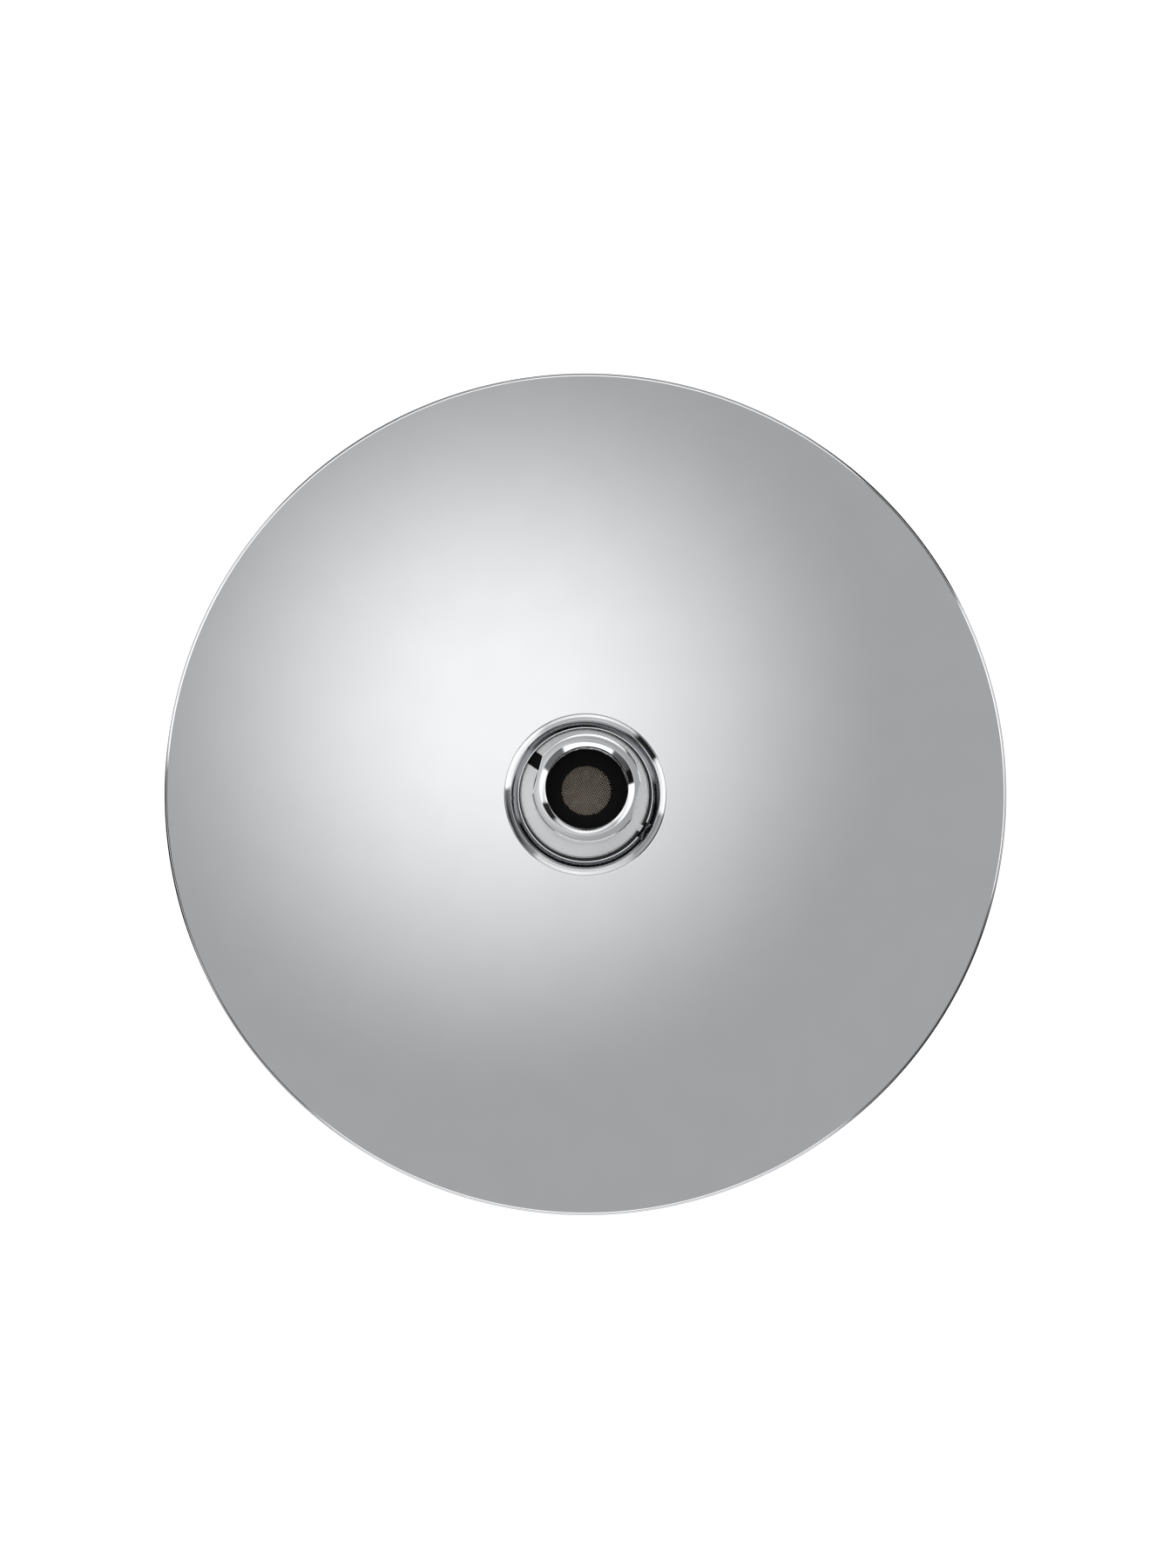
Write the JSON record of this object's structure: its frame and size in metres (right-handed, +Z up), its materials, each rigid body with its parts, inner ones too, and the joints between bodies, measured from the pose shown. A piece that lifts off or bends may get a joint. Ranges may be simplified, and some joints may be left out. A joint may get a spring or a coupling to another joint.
{
  "type": "rain shower head",
  "caption": "Round domed shower head with a ball swivel: threaded inlet in a collar, silicone spray nozzles below.",
  "frame": {"origin": "centre of the spray side, in the plane of the nozzle tips, on the head's axis", "axes": "+Z up along the head's axis, from the spray face through the swivel; +Y to the top of the picture, +X to its right"},
  "size_m": [0.2, 0.2, 0.0458],
  "materials": {
    "chrome_abs": "bright chrome plate on moulded ABS",
    "chrome_brass": "bright chrome plate on turned brass",
    "face_abs": "satin moulded ABS",
    "inner_abs": "natural moulded ABS",
    "silicone": "matt moulded silicone",
    "acetal_grey": "satin moulded acetal",
    "acetal_white": "satin moulded acetal",
    "acetal_black": "satin moulded acetal",
    "black_rubber": "matt moulded EPDM rubber",
    "steel_mesh": "fine woven stainless wire",
    "screw_steel": "plain stainless steel"
  },
  "bodies": {
    "head": {"back_shell": "chrome_abs", "face_plate": "face_abs", "nozzle_mat": "silicone", "chamber_plate": "inner_abs", "chamber_seal": "black_rubber", "inlet_seal": "black_rubber", "chamber_screws": "screw_steel", "screw_seals": "black_rubber", "water_spreader": "acetal_white", "seat_washer": "black_rubber", "collar": "chrome_abs", "retaining_ring": "acetal_grey"},
    "seat": {"ball_seat": "acetal_black"},
    "ball_ring": {"ball_seal": "black_rubber"},
    "connector": {"ball_connector": "chrome_brass", "inlet_washer": "black_rubber", "filter_mesh": "steel_mesh", "flow_regulator": "acetal_black"}
  },
  "joints": [
    {"name": "swivel_turn", "type": "hinge", "parent": "head", "child": "seat", "pos_m": [0, 0, 0.025], "axis": [0, 0, 1], "continuous": true},
    {"name": "swivel_tilt", "type": "hinge", "parent": "seat", "child": "ball_ring", "pos_m": [0, 0, 0.025], "axis": [-0.9781, 0.2079, 0], "range_deg": [-20, 10]},
    {"name": "swivel_spin", "type": "hinge", "parent": "ball_ring", "child": "connector", "pos_m": [0, 0, 0.025], "axis": [0.0181, 0.0853, 0.9962], "continuous": true}
  ]
}
